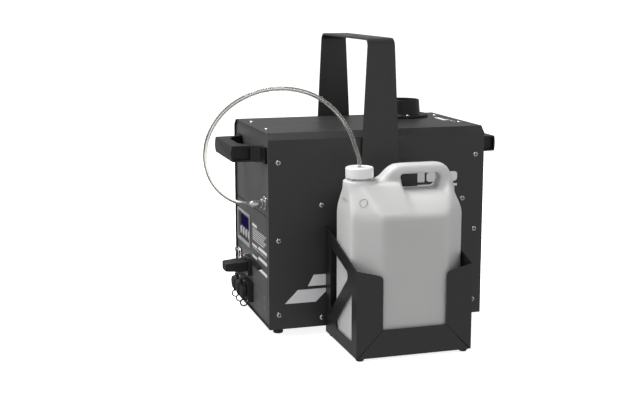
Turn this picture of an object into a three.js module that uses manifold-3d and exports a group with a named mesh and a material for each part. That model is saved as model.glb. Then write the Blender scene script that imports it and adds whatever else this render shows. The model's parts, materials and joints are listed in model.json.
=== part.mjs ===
// Fog machine: a steel cabinet on rubber feet with a tilting yoke, two carrying handles, a top outlet
// collar, a rear control panel, and a folded steel basket on its side that holds the fluid can.
// Millimetres, +Z up. +X runs from the rear (connector) end to the front end, -Y is the basket side.
// The group's origin is the centre of the footprint, on the surface that the feet stand on.
import * as THREE from "three";
import { mergeVertices } from "three/addons/utils/BufferGeometryUtils.js";
import Module from "manifold-3d";

const wasm = await Module();
wasm.setup();

// ---------------------------------------------------------------- driving dimensions
const GAP = 0.3; // clearance between touching pieces
const HALF_L = 221; // half the cover's length
const HALF_W = 142.5; // half the cover's width
const CASE_H = 380; // cover height, from its lower edge
const CHAMFER_Y = 14.5;
const CHAMFER_Z = 12.5;
const SHEET = 1.5; // cover and panel sheet
const RECESS = 4.5; // how far the end panels sit inside the cover
const FOOT_H = 17;
const FOOT_R = 10;

const PANEL_X = -HALF_L + RECESS; // outer face of the rear panels
const FRONT_X = HALF_L - RECESS; // outer face of the front panel
const SEAM_Z = 215.7; // seam between the rear panel and the control panel
const SEAM_Y = -113;
const SEAM = 1.2;

const PIVOT_Z = 270;
const YOKE_IN = 146;
const YOKE_T = 4;
const YOKE_TOP = 555;
const YOKE_HALF_TOP = 26.5;
const YOKE_HALF_LOW = 40.7;
const KNOB_TIP = 176;

const HOLDER_X0 = -107.7;
const HOLDER_X1 = 117;
const HOLDER_FRONT = -327.7;
const HOLDER_Z0 = -10.9;
const HOLDER_BACK_Z = 198.7;
const HOLDER_FRONT_Z = 152.8;
const HOLDER_T = 2;
const HOLDER_IN = -HALF_W - 0.5; // inner face of the basket's back plate

const CAN_X = 5.3;
const CAN_Y = -238.1;
const CAN_HALF_X = 108.8;
const CAN_HALF_Y = 84.5;
const CAN_CUT_X = 44.7;
const CAN_CUT_Y = 41;
const CAN_BASE = HOLDER_Z0 + HOLDER_T + GAP;
const CAN_BREAK = 245; // height where the shoulders start
const CAN_TOP = 298;
const CAN_WALL = 2.5;
const CAP_X = -73;
const CAP_R = 25.9;
const CAP_Z0 = 307;
const CAP_Z1 = 326.5;
const NECK_R = 22.5;
const GRIP_TOP = 329;
const GRIP_HALF = 17; // half the handle's thickness

const HOSE_R = 3.8;
const FIT_Y = -101;
const FIT_Z = 242;
const COUPLER_END = -246.3;

const COLLAR_X = 130.5;
const COLLAR_Y = 76;
const COLLAR_TOP = 416.5;

const HANDLE_Z0 = 320;
const HANDLE_Z1 = 351;
const HANDLE_OUT = 277.5;

const ORIGIN = new THREE.Vector3(0, (HOLDER_FRONT + KNOB_TIP) / 2, -FOOT_H);

// The hose's centre line, from the coupler on the rear panel, up and over, down into the can's cap.
const HOSE_ROUTE = [
  [COUPLER_END - GAP, FIT_Y, FIT_Z],
  [-254, FIT_Y, FIT_Z + 0.5],
  [-275, -102, 248],
  [-300.5, -104.5, 264.5],
  [-320, -109, 287.5],
  [-332, -114.5, 315],
  [-336.3, -122, 345],
  [-333, -130, 373.5],
  [-322.5, -139.5, 400.5],
  [-306.5, -149.5, 424],
  [-285, -160, 443.5],
  [-259.5, -171, 457.5],
  [-233, -181.5, 466],
  [-204, -192.5, 468.7],
  [-175, -203.5, 465],
  [-148.5, -213, 455],
  [-124, -221.5, 437.5],
  [-105, -228.5, 415.5],
  [-90, -234, 389],
  [-80, -237, 361],
  [CAP_X, CAN_Y, 336],
  [CAP_X, CAN_Y, CAP_Z1 + GAP],
];

// ---------------------------------------------------------------- materials
const finish = (color, roughness, metalness, extra = {}) =>
  new THREE.MeshStandardMaterial({ color, roughness, metalness, ...extra });
const MATERIALS = {
  sheet: finish(0x333335, 0.62, 0.35),
  panel: finish(0x5c5c5e, 0.6, 0.35),
  moulded: finish(0x242425, 0.5, 0),
  rubber: finish(0x17181a, 0.85, 0),
  nickel: finish(0xc6c7c8, 0.25, 1),
  steel: finish(0x9a9c9e, 0.4, 1),
  can: finish(0xdcdcda, 0.45, 0),
  cap: finish(0xf2f2f0, 0.4, 0),
  hose: finish(0xb9bcb2, 0.25, 0, { transparent: true, opacity: 0.6 }),
  clear: finish(0xe6ebee, 0.1, 0, { transparent: true, opacity: 0.35 }),
  bezel: finish(0xa9abac, 0.4, 0.1),
  screen: finish(0x1b1560, 0.15, 0),
  button: finish(0xc9c9c7, 0.4, 0.3),
  red: finish(0xc01822, 0.35, 0),
  board: finish(0x1e5a34, 0.6, 0),
  aluminium: finish(0xa8a9ab, 0.4, 0.9),
  wool: finish(0xc9c2b0, 0.95, 0),
  brass: finish(0xb08d48, 0.35, 0.9),
};

// ---------------------------------------------------------------- solids
function solid(geometry) {
  const bare = new THREE.BufferGeometry();
  bare.setAttribute("position", geometry.getAttribute("position"));
  if (geometry.index) bare.setIndex(geometry.index);
  const merged = mergeVertices(bare, 1e-4);
  const at = merged.getAttribute("position");
  const index = Array.from(merged.index.array);
  const tris = [];
  let volume = 0;
  const [a, b, c] = [new THREE.Vector3(), new THREE.Vector3(), new THREE.Vector3()];
  for (let i = 0; i < index.length; i += 3) {
    const [p, q, r] = index.slice(i, i + 3);
    if (p === q || q === r || r === p) continue;
    a.fromBufferAttribute(at, p);
    b.fromBufferAttribute(at, q);
    c.fromBufferAttribute(at, r);
    volume += a.dot(b.cross(c));
    tris.push(p, q, r);
  }
  if (volume < 0) tris.reverse();
  return new wasm.Manifold(
    new wasm.Mesh({ numProp: 3, vertProperties: at.array, triVerts: new Uint32Array(tris) }),
  );
}

const join = (...solids) => solids.reduce((whole, piece) => whole.add(piece));
const cut = (whole, ...tools) => tools.reduce((left, tool) => left.subtract(tool), whole);

function geometryOf(body) {
  const mesh = body.getMesh();
  const stride = mesh.numProp;
  const points = new Float32Array(mesh.numVert * 3);
  for (let i = 0; i < mesh.numVert; i++) {
    points.set(mesh.vertProperties.subarray(i * stride, i * stride + 3), i * 3);
  }
  const geometry = new THREE.BufferGeometry();
  geometry.setAttribute("position", new THREE.BufferAttribute(points, 3));
  geometry.setIndex(new THREE.BufferAttribute(mesh.triVerts, 1));
  const flat = geometry.toNonIndexed();
  flat.computeVertexNormals();
  return flat;
}

function box(x0, x1, y0, y1, z0, z1) {
  const geometry = new THREE.BoxGeometry(x1 - x0, y1 - y0, z1 - z0);
  return solid(geometry.translate((x0 + x1) / 2, (y0 + y1) / 2, (z0 + z1) / 2));
}

// Corners are [u, v] or [u, v, fillet radius].
function outline(corners, steps = 4) {
  const points = [];
  corners.forEach(([u, v, r = 0], i) => {
    const corner = new THREE.Vector2(u, v);
    if (!r) {
      points.push(corner);
      return;
    }
    const before = corners[(i + corners.length - 1) % corners.length];
    const after = corners[(i + 1) % corners.length];
    const back = new THREE.Vector2(before[0] - u, before[1] - v).normalize();
    const ahead = new THREE.Vector2(after[0] - u, after[1] - v).normalize();
    const half = Math.acos(THREE.MathUtils.clamp(back.dot(ahead), -1, 1)) / 2;
    const middle = back.clone().add(ahead).normalize().multiplyScalar(r / Math.sin(half));
    const centre = corner.clone().add(middle);
    const start = corner.clone().addScaledVector(back, r / Math.tan(half)).sub(centre);
    const end = corner.clone().addScaledVector(ahead, r / Math.tan(half)).sub(centre);
    let sweep = end.angle() - start.angle();
    if (sweep > Math.PI) sweep -= 2 * Math.PI;
    if (sweep < -Math.PI) sweep += 2 * Math.PI;
    for (let k = 0; k <= steps; k++) {
      const turn = start.angle() + (sweep * k) / steps;
      points.push(new THREE.Vector2(Math.cos(turn), Math.sin(turn)).multiplyScalar(r).add(centre));
    }
  });
  return points;
}

const rect = (u0, u1, v0, v1, r = 0) =>
  outline([[u0, v0, r], [u1, v0, r], [u1, v1, r], [u0, v1, r]]);

function circle(u, v, r, steps = 24) {
  const at = (k) => (2 * Math.PI * k) / steps;
  return Array.from({ length: steps }, (_, k) =>
    new THREE.Vector2(u + r * Math.cos(at(k)), v + r * Math.sin(at(k))));
}

function extruded(points, depth, holes) {
  const shape = new THREE.Shape(points);
  shape.holes = holes.map((hole) => new THREE.Path(hole));
  return new THREE.ExtrudeGeometry(shape, { depth, bevelEnabled: false });
}

const plateXY = (points, z0, z1, holes = []) =>
  solid(extruded(points, z1 - z0, holes).translate(0, 0, z0));
const plateXZ = (points, y0, y1, holes = []) =>
  solid(extruded(points, y1 - y0, holes).rotateX(Math.PI / 2).translate(0, y1, 0));
const TO_YZ = new THREE.Matrix4().makeBasis(
  new THREE.Vector3(0, 1, 0),
  new THREE.Vector3(0, 0, 1),
  new THREE.Vector3(1, 0, 0),
);
const plateYZ = (points, x0, x1, holes = []) =>
  solid(extruded(points, x1 - x0, holes).applyMatrix4(TO_YZ).translate(x0, 0, 0));

// A turned piece: profile points are [radius, height]; the axis runs along x, y or z through centre.
function turned(profile, axis, centre, steps = 24) {
  const points = profile.map(([r, h]) => new THREE.Vector2(r, h));
  const geometry = new THREE.LatheGeometry(points, steps);
  if (axis === "z") geometry.rotateX(Math.PI / 2);
  if (axis === "x") geometry.rotateZ(-Math.PI / 2);
  return solid(geometry.translate(...centre));
}

const disc = (r, h0, h1, axis, centre, steps = 24) =>
  turned([[0, h0], [r, h0], [r, h1], [0, h1]], axis, centre, steps);
const ring = (r0, r1, h0, h1, axis, centre, steps = 24) =>
  turned([[r0, h0], [r1, h0], [r1, h1], [r0, h1], [r0, h0]], axis, centre, steps);

function swept(route, radius, sides, steps) {
  const path = new THREE.CatmullRomCurve3(route.map((p) => new THREE.Vector3(...p)));
  const section = new THREE.Shape(circle(0, 0, radius, sides));
  return solid(new THREE.ExtrudeGeometry(section, { steps, extrudePath: path }));
}

// ---------------------------------------------------------------- cabinet
const coverProfile = (inset) => {
  const w = HALF_W - inset;
  const top = CASE_H - inset;
  const kneeY = HALF_W - CHAMFER_Y - inset * 0.4;
  const kneeZ = CASE_H - CHAMFER_Z - inset * 0.45;
  return [[-w, kneeZ], [-kneeY, top], [kneeY, top], [w, kneeZ]];
};

function cover() {
  const outer = coverProfile(0);
  const inner = coverProfile(SHEET).reverse();
  const sheet = outline([[-HALF_W, 0], ...outer, [HALF_W, 0], [HALF_W - SHEET, 0], ...inner,
    [-HALF_W + SHEET, 0]].reverse());
  const bolt = disc(5.4, -HALF_W - 5, HALF_W + 5, "y", [0, 0, PIVOT_Z], 20);
  const outlet = disc(30, CASE_H - 5, CASE_H + 5, "z", [COLLAR_X, COLLAR_Y, 0], 28);
  return cut(plateYZ(sheet, -HALF_L, HALF_L), bolt, outlet);
}

function basePlate() {
  const w = HALF_W - SHEET - GAP;
  const length = HALF_L - RECESS - SHEET - GAP;
  const tray = [[-w, 0], [w, 0], [w, 14], [w - 2, 14], [w - 2, 2], [2 - w, 2], [2 - w, 14], [-w, 14]];
  const body = plateYZ(outline(tray), -length, length);
  const tongue = (s) => box(Math.min(s * length, s * (HALF_L - 1)), Math.max(s * length, s * (HALF_L - 1)),
    -w, w, 0, 2);
  return join(body, tongue(-1), tongue(1));
}

// The end panels fill the cover's opening above the base plate.
function endOutline(inset = SHEET + 0.5) {
  const w = HALF_W - inset;
  return [[-w, 2 + GAP], [w, 2 + GAP], ...coverProfile(inset).reverse()];
}

function rearPanel() {
  const full = plateYZ(outline(endOutline()), PANEL_X, PANEL_X + SHEET);
  const opening = box(PANEL_X - 5, PANEL_X + 5, SEAM_Y - SEAM, HALF_W, -5, SEAM_Z + SEAM);
  const fitting = disc(7.2, PANEL_X - 5, PANEL_X + 5, "x", [0, FIT_Y, FIT_Z]);
  return cut(full, opening, fitting);
}

const DISPLAY = { y0: 24, y1: 134, z0: 125.5, z1: 193.5 };
const SWITCH = { y: 115, z: 90, halfY: 13, halfZ: 17 };
const INLET = { y: 33, z: 90, halfY: 21.5, halfZ: 20 };
const SOCKET_Y = [98, 60, 22];
const SOCKET_Z = 37.5;

function controlPanel() {
  const w = HALF_W - SHEET - 0.5;
  const sheet = rect(SEAM_Y, w, 2 + GAP, SEAM_Z);
  const holes = [
    rect(DISPLAY.y0 + 4, DISPLAY.y1 - 4, DISPLAY.z0 + 4, DISPLAY.z1 - 4),
    rect(SWITCH.y - 11, SWITCH.y + 11, SWITCH.z - 15, SWITCH.z + 15),
    rect(INLET.y - 16.5, INLET.y + 16.5, INLET.z - 13.5, INLET.z + 13.5),
    ...SOCKET_Y.map((y) => circle(y, SOCKET_Z, 12.5, 20)),
  ];
  return plateYZ(sheet, PANEL_X, PANEL_X + SHEET, holes);
}

const VENT = { y: -20, z: 85, rows: 9, pitch: 9, halfY: 42, halfZ: 2.2 };

function frontPanel() {
  const slots = Array.from({ length: VENT.rows }, (_, k) => {
    const z = VENT.z + (k - (VENT.rows - 1) / 2) * VENT.pitch;
    return rect(VENT.y - VENT.halfY, VENT.y + VENT.halfY, z - VENT.halfZ, z + VENT.halfZ);
  });
  return plateYZ(outline(endOutline()), FRONT_X - SHEET, FRONT_X, slots);
}

// A rubber foot of a given height, top face at z = top.
const foot = (x, y, top, radius) =>
  turned([[0, -FOOT_H], [radius - 1.5, -FOOT_H], [radius, -FOOT_H + 1.5], [radius, top], [0, top]],
    "z", [x, y, 0], 16);

// A carrying handle of the end at x = side * HALF_L: a bar on two flared legs, with a pocket in each end.
function handle(side) {
  const out = HANDLE_OUT;
  const wall = FRONT_X + GAP;
  const half = [[out, 76, 3], [238, 79, 8], [222.5, 92, 12], [221.5, 118], [wall, 118], [wall, 88],
    [226, 74, 14], [243, 62, 14], [254, 36, 30]];
  const mirrored = half.map(([x, y, r]) => [x, -y, r]).reverse();
  const plan = [...half, ...mirrored].map(([x, y, r]) => [side * x, y, r]);
  const bar = plateXY(outline(plan), HANDLE_Z0, HANDLE_Z1);
  const middle = (HANDLE_Z0 + HANDLE_Z1) / 2;
  const ridge = [[200, HANDLE_Z0 - 1], [out - 3.2, HANDLE_Z0 - 1], [out - 1.8, HANDLE_Z0 + 3], [out, middle],
    [out - 1.8, HANDLE_Z1 - 3], [out - 3.2, HANDLE_Z1 + 1], [200, HANDLE_Z1 + 1]];
  const envelope = plateXZ(outline(ridge.map(([x, z]) => [side * x, z])), -130, 130);
  const pocket = (s) => {
    const mouth = rect(Math.min(side * 240, side * 272.5), Math.max(side * 240, side * 272.5),
      HANDLE_Z0 + 3, HANDLE_Z1 - 3, 3);
    return plateXZ(mouth, Math.min(s * 70, s * 90), Math.max(s * 70, s * 90));
  };
  return cut(bar.intersect(envelope), pocket(-1), pocket(1));
}

// ---------------------------------------------------------------- outlet and heating
function outletCollar() {
  const z = CASE_H + GAP;
  const top = COLLAR_TOP;
  return turned([[32.5, z], [54.5, z], [54.5, z + 4.5], [53.5, z + 5.5], [39, z + 5.5], [37.4, z + 7.5],
    [35.6, top - 0.5], [35.1, top], [33.5, top], [32.8, top - 1.5], [32.5, z]],
    "z", [COLLAR_X, COLLAR_Y, 0], 32);
}

const outletNozzle = () =>
  turned([[5, 230.6], [9, 230.6], [9, 366], [13, 368], [13, 392], [8, 402], [5, 402], [5, 230.6]],
    "z", [COLLAR_X, COLLAR_Y, 0], 20);

function heatExchanger() {
  const block = box(28, 186, 50.5, 126.5, 150, 230.3);
  const feed = swept([[30, 88, 190], [0, 88, 190], [-22, 80, 186], [-34, 60, 165], [-38, 20, 120],
    [-42, -30, 70], [-50, -62, 44],
    [-60, -65, 40], [-64.7, -65, 40]], 3, 8, 26);
  return join(block, feed);
}

const heatInsulation = () => {
  const sleeve = [rect(40, 137, 139.5, 240.5), rect(50, 127, 149.5, 230.9)];
  const body = plateYZ(sleeve[0], 33, 181, [sleeve[1]]);
  return cut(body, disc(9.5, 225, 245, "z", [COLLAR_X, COLLAR_Y, 0]));
};

function heaterStand() {
  const frame = [[46, 2.3], [52, 2.3], [52, 137.2], [125, 137.2], [125, 2.3], [131, 2.3], [131, 139.2],
    [46, 139.2]];
  return plateYZ(outline(frame), 45, 170);
}

function fluidPump() {
  const coil = turned([[0, -150], [11, -150], [11, -142], [24, -142], [24, -88], [11, -88], [11, -65],
    [0, -65]], "x", [0, -65, 40], 20);
  const cradle = box(-138, -92, -84, -46, 2.3, 24);
  return join(coil, cradle);
}

const intakeTube = () =>
  swept([[-198.9, FIT_Y, FIT_Z], [-185, FIT_Y, FIT_Z], [-172, -100, 230], [-168, -95, 190], [-168, -84, 120],
    [-166, -70, 66], [-159, -65, 42], [-154, -65, 40],
    [-150.3, -65, 40]], 3, 8, 26);

function mainBoard() {
  const board = box(-60, 140, -124.6, -123, 55, 215);
  const posts = [[-52, 63], [132, 63], [-52, 207], [132, 207]].map(([x, z]) =>
    disc(4, -HALF_W + SHEET + GAP, -124, "y", [x, 0, z], 10));
  const relay = box(-40, 10, -123.5, -98, 80, 130);
  const capacitor = disc(14, -123.5, -86, "y", [60, 0, 100], 16);
  const chips = box(20, 110, -123.5, -118, 150, 190);
  return join(board, ...posts, relay, capacitor, chips);
}

const powerSupply = () => join(
  box(-40, 30, -30, 30, 2.3, 62),
  box(-30, 20, -40, 40, 12, 52),
);

const FAN = { y: -20, z: 85 };

function fanHousing() {
  const x1 = FRONT_X - SHEET - GAP;
  const frame = plateYZ(rect(FAN.y - 40, FAN.y + 40, FAN.z - 40, FAN.z + 40, 4), x1 - 28, x1,
    [circle(FAN.y, FAN.z, 37.5, 32)]);
  const motor = disc(15, x1 - 28, x1 - 24, "x", [0, FAN.y, FAN.z], 20);
  const struts = [box(x1 - 28, x1 - 25, FAN.y - 39, FAN.y + 39, FAN.z - 2, FAN.z + 2),
    box(x1 - 28, x1 - 25, FAN.y - 2, FAN.y + 2, FAN.z - 39, FAN.z + 39)];
  return join(frame, motor, ...struts);
}

function fanRotor() {
  const x0 = FRONT_X - SHEET - GAP - 23;
  const hub = disc(15, x0, x0 + 18, "x", [0, FAN.y, FAN.z], 20);
  const blades = Array.from({ length: 7 }, (_, k) => {
    const blade = new THREE.BoxGeometry(20, 3, 23).rotateZ(0.6).translate(0, 0, 24.5);
    return solid(blade.rotateX((2 * Math.PI * k) / 7).translate(x0 + 9, FAN.y, FAN.z));
  });
  return join(hub, ...blades);
}

// ---------------------------------------------------------------- yoke
function yoke() {
  const out = YOKE_IN + YOKE_T;
  const bend = 15;
  const strap = [[-out, PIVOT_Z - 60], [-out, YOKE_TOP, bend], [out, YOKE_TOP, bend], [out, PIVOT_Z - 60],
    [YOKE_IN, PIVOT_Z - 60], [YOKE_IN, YOKE_TOP - YOKE_T, bend - YOKE_T],
    [-YOKE_IN, YOKE_TOP - YOKE_T, bend - YOKE_T], [-YOKE_IN, PIVOT_Z - 60]];
  const bent = plateYZ(outline(strap), -60, 60);
  const round = Array.from({ length: 13 }, (_, k) => {
    const turn = Math.PI + (Math.PI * k) / 12;
    return [YOKE_HALF_LOW * Math.cos(turn), PIVOT_Z + YOKE_HALF_LOW * Math.sin(turn)];
  });
  const face = outline([...round, [YOKE_HALF_TOP, YOKE_TOP + 1], [-YOKE_HALF_TOP, YOKE_TOP + 1]]);
  const blank = bent.intersect(plateXZ(face, -out - 5, out + 5));
  const top = (y, r) => disc(r, YOKE_TOP - 10, YOKE_TOP + 5, "z", [0, y, 0], 20);
  const sink = turned([[0, -out - 1], [10.9, -out - 1], [10.9, -out], [5.3, -YOKE_IN - 0.4],
    [5.3, -YOKE_IN + 1], [0, -YOKE_IN + 1]],
    "y", [0, 0, PIVOT_Z], 24);
  const far = disc(5.3, 120, out + 5, "y", [0, 0, PIVOT_Z], 24);
  return cut(blank, top(0, 6.5), top(85, 5), top(-85, 5), sink, far);
}

const WASHER_IN = HALF_W + GAP;

const pivotWasher = (side) =>
  ring(5.4, 13, Math.min(side * WASHER_IN, side * (YOKE_IN - GAP)),
    Math.max(side * WASHER_IN, side * (YOKE_IN - GAP)), "y", [0, 0, PIVOT_Z]);

// The basket side's pivot is a countersunk bolt, so that the can passes it; a nut inside holds it.
function pivotBolt() {
  const out = YOKE_IN + YOKE_T;
  const shank = turned([[0, -out], [10.4, -out], [4.9, -YOKE_IN - 0.5], [4.9, -128], [0, -128]],
    "y", [0, 0, PIVOT_Z], 24);
  const nut = disc(9, -HALF_W + SHEET + GAP, -132, "y", [0, 0, PIVOT_Z], 6);
  return join(shank, nut);
}

// The far side's pivot is a hand knob on a threaded stud.
function pivotKnob() {
  const out = YOKE_IN + YOKE_T + GAP;
  const stud = disc(4.9, 128, out + 2, "y", [0, 0, PIVOT_Z], 24);
  const boss = disc(12, out, out + 6, "y", [0, 0, PIVOT_Z], 24);
  const lobes = Array.from({ length: 48 }, (_, k) => {
    const turn = (2 * Math.PI * k) / 48;
    const r = 19.5 + 2.5 * Math.cos(6 * turn);
    return new THREE.Vector2(r * Math.cos(turn), PIVOT_Z + r * Math.sin(turn));
  });
  const grip = plateXZ(lobes, out + 5, KNOB_TIP - 2);
  const crown = disc(15, KNOB_TIP - 3, KNOB_TIP, "y", [0, 0, PIVOT_Z], 24);
  return join(stud, boss, grip, crown);
}

// ---------------------------------------------------------------- can basket
const HOLDER_OUT = HOLDER_IN - HOLDER_T; // outer face of the back plate
const sideTop = (y) =>
  HOLDER_BACK_Z + ((HOLDER_FRONT_Z - HOLDER_BACK_Z) * (HOLDER_OUT - y)) / (HOLDER_OUT - HOLDER_FRONT);

const holderBack = () =>
  plateXZ(outline([[HOLDER_X0, HOLDER_Z0], [HOLDER_X1, HOLDER_Z0], [HOLDER_X1, HOLDER_BACK_Z, 6],
    [HOLDER_X0, HOLDER_BACK_Z, 6]]), HOLDER_OUT, HOLDER_IN);

const WINDOW = { x0: -57, x1: 66.5, z: 40.2 };

// One side wall with its two triangular cut-outs, and the front flange folded from it.
function holderSide(side) {
  const face = side < 0 ? HOLDER_X0 : HOLDER_X1;
  const back = HOLDER_OUT - GAP;
  const wall = outline([[back, HOLDER_Z0], [back, HOLDER_BACK_Z], [HOLDER_FRONT, HOLDER_FRONT_Z],
    [HOLDER_FRONT, HOLDER_Z0]].reverse());
  const edge = HOLDER_OUT - 26;
  const upper = outline([[edge, 38, 5], [edge, sideTop(edge) - 27, 5],
    [HOLDER_OUT - 142, sideTop(-287) - 27, 10]]);
  const post = HOLDER_FRONT + 28;
  const lower = outline([[post, 110, 4], [post, 13.5, 4], [HOLDER_OUT - 45, 13.5, 9]]);
  const x0 = side < 0 ? face : face - HOLDER_T;
  const plate = plateYZ(wall, x0, x0 + HOLDER_T, [upper, lower]);
  const inner = side < 0 ? WINDOW.x0 : WINDOW.x1;
  const flangeTop = HOLDER_FRONT_Z - Math.abs(inner - face) * 0.26;
  const mitre = 1.2;
  const flange = plateXZ(outline([[face, HOLDER_Z0], [face - side * mitre, HOLDER_Z0],
    [inner, WINDOW.z + mitre], [inner, flangeTop, 9], [face, HOLDER_FRONT_Z]]),
    HOLDER_FRONT, HOLDER_FRONT + HOLDER_T);
  return join(plate, flange);
}

// The floor with the front band folded up from it, mitred to the side flanges.
function holderBase() {
  const x0 = HOLDER_X0 + HOLDER_T + GAP;
  const x1 = HOLDER_X1 - HOLDER_T - GAP;
  const floor = box(x0, x1, HOLDER_FRONT + 2.5, HOLDER_OUT - GAP, HOLDER_Z0, HOLDER_Z0 + HOLDER_T);
  const fold = box(HOLDER_X0 + 4, HOLDER_X1 - 4, HOLDER_FRONT + 0.5, HOLDER_FRONT + 5, HOLDER_Z0,
    HOLDER_Z0 + HOLDER_T);
  const band = plateXZ(outline([[HOLDER_X0 + 4, HOLDER_Z0], [HOLDER_X1 - 4, HOLDER_Z0],
    [HOLDER_X1 - 4, HOLDER_Z0 + 1], [WINDOW.x1, WINDOW.z], [WINDOW.x0, WINDOW.z],
    [HOLDER_X0 + 4, HOLDER_Z0 + 1]]),
    HOLDER_FRONT, HOLDER_FRONT + HOLDER_T);
  return join(floor, fold, band);
}

// ---------------------------------------------------------------- fluid can
// A horizontal section of the can: a rectangle with its corners cut off.
function canSection(z, x0, x1, halfY, cutX, cutY) {
  return [[x0 + cutX, -halfY], [x1 - cutX, -halfY], [x1, -halfY + cutY], [x1, halfY - cutY],
    [x1 - cutX, halfY], [x0 + cutX, halfY], [x0, halfY - cutY], [x0, -halfY + cutY]]
    .map(([x, y]) => new THREE.Vector3(x, CAN_Y + y, z));
}

// A closed solid through sections that have the same number of points.
function lofted(sections) {
  const count = sections[0].length;
  const points = sections.flat().concat(
    sections[0].reduce((sum, p) => sum.add(p), new THREE.Vector3()).divideScalar(count),
    sections.at(-1).reduce((sum, p) => sum.add(p), new THREE.Vector3()).divideScalar(count),
  );
  const index = [];
  for (let row = 0; row < sections.length - 1; row++) {
    for (let k = 0; k < count; k++) {
      const a = row * count + k;
      const b = row * count + ((k + 1) % count);
      index.push(a, b, b + count, a, b + count, a + count);
    }
  }
  const last = (sections.length - 1) * count;
  for (let k = 0; k < count; k++) {
    const next = (k + 1) % count;
    index.push(next, k, points.length - 2, last + k, last + next, points.length - 1);
  }
  const geometry = new THREE.BufferGeometry().setFromPoints(points);
  geometry.setIndex(index);
  return solid(geometry);
}

// The can's body, inset by the wall for the inside.
function canBody(inset) {
  const x0 = CAN_X - CAN_HALF_X + inset;
  const x1 = CAN_X + CAN_HALF_X - inset;
  const y = CAN_HALF_Y - inset;
  const section = (z, left, right, halfY, cutX, cutY) =>
    canSection(z, left, right, halfY, cutX, cutY);
  return lofted([
    section(CAN_BASE + inset, x0 + 5, x1 - 5, y - 5, CAN_CUT_X - 3, CAN_CUT_Y - 3),
    section(CAN_BASE + 5 + inset, x0, x1, y, CAN_CUT_X, CAN_CUT_Y),
    section(CAN_BREAK, x0, x1, y, CAN_CUT_X, CAN_CUT_Y),
    section(CAN_TOP - inset, x0 + 5, x1 - 14, 31 - inset, 20, 14),
  ]);
}

function jerrycan() {
  const outer = canBody(0);
  const inner = canBody(CAN_WALL);
  const neck = turned([[0, 285], [NECK_R, 285], [27, 300], [27, 304], [NECK_R, 305], [NECK_R, 321],
    [0, 321]], "z", [CAP_X, CAN_Y, 0], 28);
  const bore = disc(NECK_R - 3, 275, 330, "z", [CAP_X, CAN_Y, 0], 28);
  const arch = plateXZ(outline([[-58, 284], [-43, 303, 30], [-33, 308, 20], [-17, 326, 12], [2, GRIP_TOP, 20],
    [86, GRIP_TOP, 20], [103, 309, 60], [110, 278], [60, 262]]), CAN_Y - GRIP_HALF, CAN_Y + GRIP_HALF);
  const grip = plateXZ(outline([[3, 279, 6], [2.5, 311, 7], [82.5, 311, 9], [82.5, 279, 22]]),
    CAN_Y - 60, CAN_Y + 60);
  const dip = (s) => plateYZ(outline([[CAN_Y + s * GRIP_HALF, 274], [CAN_Y + s * GRIP_HALF, 340],
    [CAN_Y + s * 70, 340], [CAN_Y + s * 70, 290]]), 1, 90);
  const shell = cut(join(outer, neck, arch), dip(-1), dip(1), grip);
  return cut(shell, inner.subtract(box(0, 120, -400, 0, 255, 400)), bore);
}

const canCap = () =>
  turned([[4.3, CAP_Z1 - 3], [4.3, CAP_Z1], [CAP_R - 2.5, CAP_Z1], [CAP_R - 0.7, CAP_Z1 - 0.8],
    [CAP_R, CAP_Z1 - 2.6], [CAP_R, CAP_Z0], [NECK_R + 0.6, CAP_Z0], [NECK_R + 0.6, CAP_Z1 - 3],
    [4.3, CAP_Z1 - 3]], "z", [CAP_X, CAN_Y, 0], 28);

const pickupTube = () => disc(HOSE_R, 6, CAP_Z1, "z", [CAP_X, CAN_Y, 0], 12);

const pickupFilter = () =>
  turned([[0, -4], [8, -4], [8, 24], [HOSE_R + 0.4, 24], [HOSE_R + 0.4, 5.6], [0, 5.6]],
    "z", [CAP_X, CAN_Y, 0], 16);

// ---------------------------------------------------------------- fluid connection
function bulkheadFitting() {
  const x = -PANEL_X + GAP;
  return turned([[0, -x + 17.5], [6.6, -x + 17.5], [6.6, -x], [14, -x], [14, -x - 2.5], [10.5, -x - 2.8],
    [9.5, -x - 2], [8.6, -x - 2], [8.6, -x - 8.5], [7.6, -x - 9.5], [0, -x - 9.5]].reverse(),
    "x", [0, FIT_Y, FIT_Z], 24);
}

const hoseCoupler = () =>
  turned([[0, COUPLER_END], [4.8, COUPLER_END], [4.8, -243.5], [6.4, -243], [6.4, -240], [5.9, -239.5],
    [5.9, -238], [6.4, -237.5], [6.4, -226.9], [0, -226.9]], "x", [0, FIT_Y, FIT_Z], 24);

const fluidHose = () => swept(HOSE_ROUTE, HOSE_R, 10, 40);

// ---------------------------------------------------------------- rear panel fittings
function displayBezel() {
  const { y0, y1, z0, z1 } = DISPLAY;
  const face = plateYZ(rect(y0, y1, z0, z1, 2), PANEL_X - GAP - 2, PANEL_X - GAP,
    [rect(y0 + 5.5, y1 - 5.5, z0 + 5.5, z1 - 5.5)]);
  const wall = plateYZ(rect(y0 + 4.5, y1 - 4.5, z0 + 4.5, z1 - 4.5), PANEL_X - 1, PANEL_X + 6.5,
    [rect(y0 + 5.5, y1 - 5.5, z0 + 5.5, z1 - 5.5)]);
  return join(face, wall);
}

const SCREEN = { y0: 36, y1: 112, z0: 161.5, z1: 182 };
const BUTTON_Y = [108, 85.3, 62.6, 39.9];
const BUTTON = { z0: 140.5, z1: 157, halfY: 6 };

const buttonOutline = (y, spare) => {
  const r = BUTTON.halfY + spare;
  return outline([[y - r, BUTTON.z0 - spare, r - 0.1], [y + r, BUTTON.z0 - spare, r - 0.1],
    [y + r, BUTTON.z1 + spare, r - 0.1], [y - r, BUTTON.z1 + spare, r - 0.1]]);
};

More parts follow.
